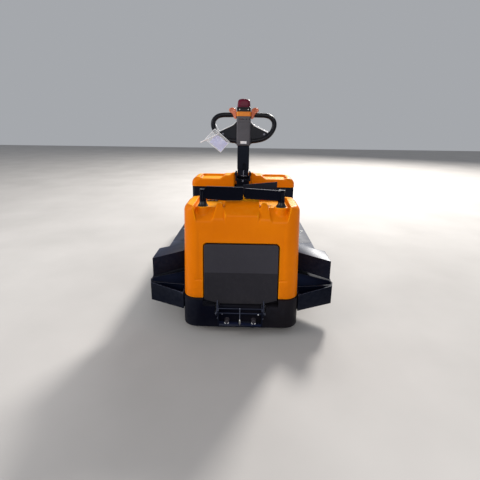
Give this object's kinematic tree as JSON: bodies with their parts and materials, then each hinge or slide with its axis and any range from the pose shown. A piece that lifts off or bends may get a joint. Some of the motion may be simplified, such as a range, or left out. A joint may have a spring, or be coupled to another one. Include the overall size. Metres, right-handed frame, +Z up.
{
  "type": "electric platform cart",
  "caption": "Electric flat-deck cart with an orange drive hood, folding stand-on platform, steering tiller with loop grips, guard arms and a battery lid behind a low load deck.",
  "frame": {"origin": "centre of the machine's own box on the floor", "axes": "+X to the operator's right, +Y from the operator's end to the far end of the deck, +Z up"},
  "size_m": [1.196, 2.361, 1.413],
  "materials": {
    "orange_paint": "glossy, slightly dusty",
    "orange_cover": "glossy moulded cover, slightly dusty",
    "black_paint": "satin black paint, worn and dusty",
    "steel_bright": "bare machined steel",
    "steel_dark": "dark oily iron",
    "battery_block": "dark cell block, hidden",
    "rubber_black": "matt black rubber",
    "tyre_black": "solid tyre, worn",
    "tyre_tan": "polyurethane tyre, scuffed",
    "plastic_grey": "grained dark grey plastic",
    "plastic_knob": "faded orange plastic",
    "button_red": "glossy red plastic",
    "pouch_film": "clear film sleeve with a blank sheet"
  },
  "bodies": {
    "chassis": {"drive_skirt": "black_paint", "drive_hood": "orange_cover", "drive_frame": "steel_dark", "side_rails": "black_paint", "deck_bearers": "black_paint", "deck_plate": "black_paint", "deck_edges": "black_paint", "deck_noses": "black_paint", "outriggers": "black_paint", "bulkhead": "black_paint", "battery_box": "black_paint", "battery": "battery_block", "platform_bracket": "black_paint", "bracket_buffers": "rubber_black", "return_strut": "steel_bright", "guard_posts": "rubber_black", "document_plate": "black_paint", "load_axle": "steel_dark"},
    "drive_unit": {"drive_fork": "steel_dark", "drive_motor": "steel_dark"},
    "drive_wheel": {"drive_wheel_hub": "steel_dark", "drive_tyre": "tyre_tan"},
    "caster_swivel_left": {"caster_fork_left": "steel_bright"},
    "caster_swivel_right": {"caster_fork_right": "steel_bright"},
    "caster_roller_left": {"caster_wheel_left": "tyre_black"},
    "caster_roller_right": {"caster_wheel_right": "tyre_black"},
    "tiller_turret": {"tiller_base": "black_paint"},
    "tiller": {"tiller_column": "black_paint", "tiller_head": "plastic_grey", "handle_loop_left": "plastic_grey", "handle_loop_right": "plastic_grey", "throttle_knobs": "plastic_knob", "emergency_button": "button_red", "document_pouch": "pouch_film"},
    "folding_platform": {"foot_platform": "black_paint", "platform_mat": "rubber_black"},
    "guard_left": {"guard_arm_left": "black_paint", "guard_pad_left": "rubber_black"},
    "guard_right": {"guard_arm_right": "black_paint", "guard_pad_right": "rubber_black"},
    "lid": {"battery_lid": "orange_cover"},
    "load_roller_left": {"load_wheel_left": "steel_dark", "load_tyre_left": "tyre_tan"},
    "load_roller_right": {"load_wheel_right": "steel_dark", "load_tyre_right": "tyre_tan"}
  },
  "joints": [
    {"name": "tiller_steer", "type": "hinge", "parent": "chassis", "child": "tiller_turret", "pos_m": [0, -0.7155, 0.8], "axis": [0, 0, 1], "range_deg": [-90, 90]},
    {"name": "tiller_tilt", "type": "hinge", "parent": "tiller_turret", "child": "tiller", "pos_m": [0, -0.7155, 0.93], "axis": [1, 0, 0], "range_deg": [0, 75], "stiffness_Nm_per_rad": 20, "springref_deg": -17.19},
    {"name": "drive_steer", "type": "hinge", "parent": "chassis", "child": "drive_unit", "pos_m": [0, -0.9305, 0.25], "axis": [0, 0, 1], "range_deg": [-90, 90]},
    {"name": "drive_roll", "type": "hinge", "parent": "drive_unit", "child": "drive_wheel", "pos_m": [0, -0.9305, 0.11], "axis": [1, 0, 0], "continuous": true},
    {"name": "caster_swivel_left_turn", "type": "hinge", "parent": "chassis", "child": "caster_swivel_left", "pos_m": [-0.255, -0.9305, 0.22], "axis": [0, 0, 1], "continuous": true},
    {"name": "caster_swivel_right_turn", "type": "hinge", "parent": "chassis", "child": "caster_swivel_right", "pos_m": [0.255, -0.9305, 0.22], "axis": [0, 0, 1], "continuous": true},
    {"name": "caster_roll_left", "type": "hinge", "parent": "caster_swivel_left", "child": "caster_roller_left", "pos_m": [-0.255, -0.8965, 0.05], "axis": [1, 0, 0], "continuous": true},
    {"name": "caster_roll_right", "type": "hinge", "parent": "caster_swivel_right", "child": "caster_roller_right", "pos_m": [0.255, -0.8965, 0.05], "axis": [1, 0, 0], "continuous": true},
    {"name": "load_roll_left", "type": "hinge", "parent": "chassis", "child": "load_roller_left", "pos_m": [-0.425, 0.7795, 0.125], "axis": [1, 0, 0], "continuous": true},
    {"name": "load_roll_right", "type": "hinge", "parent": "chassis", "child": "load_roller_right", "pos_m": [0.425, 0.7795, 0.125], "axis": [1, 0, 0], "continuous": true},
    {"name": "platform_fold", "type": "hinge", "parent": "chassis", "child": "folding_platform", "pos_m": [0, -1.1585, 0.15], "axis": [1, 0, 0], "range_deg": [0, 94.7]},
    {"name": "guard_swing_left", "type": "hinge", "parent": "chassis", "child": "guard_left", "pos_m": [-0.2325, -1.0075, 0.838], "axis": [0, 0, -1], "range_deg": [0, 95]},
    {"name": "guard_swing_right", "type": "hinge", "parent": "chassis", "child": "guard_right", "pos_m": [0.2325, -1.0075, 0.838], "axis": [0, 0, 1], "range_deg": [0, 95]},
    {"name": "lid_open", "type": "hinge", "parent": "chassis", "child": "lid", "pos_m": [0, -0.4275, 0.838], "axis": [-1, 0, 0], "range_deg": [0, 95]}
  ],
  "couplings": [
    {"joint": "drive_steer", "follows": "tiller_steer", "ratio": 1}
  ]
}
